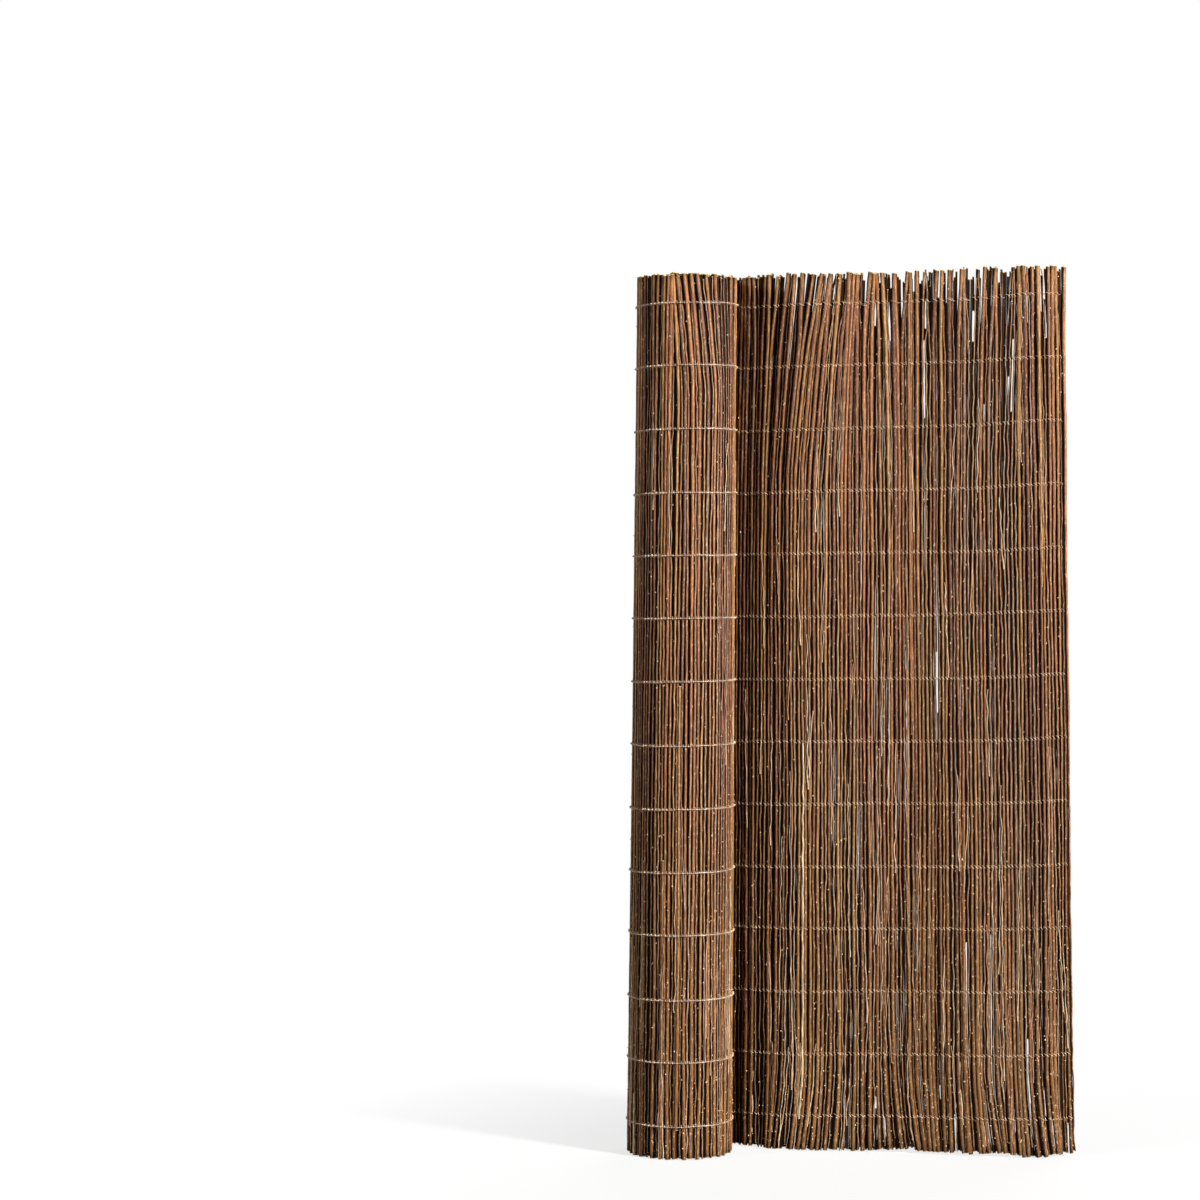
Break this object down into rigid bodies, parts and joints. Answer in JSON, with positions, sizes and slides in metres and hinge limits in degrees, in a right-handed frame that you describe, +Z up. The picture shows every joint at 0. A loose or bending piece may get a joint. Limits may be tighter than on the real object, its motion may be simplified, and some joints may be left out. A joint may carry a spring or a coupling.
{
  "type": "willow screen",
  "caption": "Tall garden screen of upright willow rods bound side by side by rows of wire, standing partly unrolled with a loose roll at one end.",
  "frame": {"origin": "middle of the ground under the screen", "axes": "+Z up along the rods, +X from the roll along the free length, -Y towards the viewer of the picture"},
  "size_m": [0.9106, 0.2282, 1.8],
  "materials": {
    "willow_bark": "dried bark, satin, mixed golden brown to dark red brown",
    "galvanised_wire": "weathered galvanised wire, dull"
  },
  "bodies": {
    "root": {"runner_wire_01": "galvanised_wire", "runner_wire_02": "galvanised_wire", "runner_wire_03": "galvanised_wire", "runner_wire_04": "galvanised_wire", "runner_wire_05": "galvanised_wire", "runner_wire_06": "galvanised_wire", "runner_wire_07": "galvanised_wire", "runner_wire_08": "galvanised_wire", "runner_wire_09": "galvanised_wire", "runner_wire_10": "galvanised_wire", "runner_wire_11": "galvanised_wire", "runner_wire_12": "galvanised_wire", "runner_wire_13": "galvanised_wire", "runner_wire_14": "galvanised_wire", "stitch_wire_01": "galvanised_wire", "stitch_wire_02": "galvanised_wire", "stitch_wire_03": "galvanised_wire", "stitch_wire_04": "galvanised_wire", "stitch_wire_05": "galvanised_wire", "stitch_wire_06": "galvanised_wire", "stitch_wire_07": "galvanised_wire", "stitch_wire_08": "galvanised_wire", "stitch_wire_09": "galvanised_wire", "stitch_wire_10": "galvanised_wire", "stitch_wire_11": "galvanised_wire", "stitch_wire_12": "galvanised_wire", "stitch_wire_13": "galvanised_wire", "stitch_wire_14": "galvanised_wire", "willow_mat": "willow_bark"}
  },
  "joints": []
}
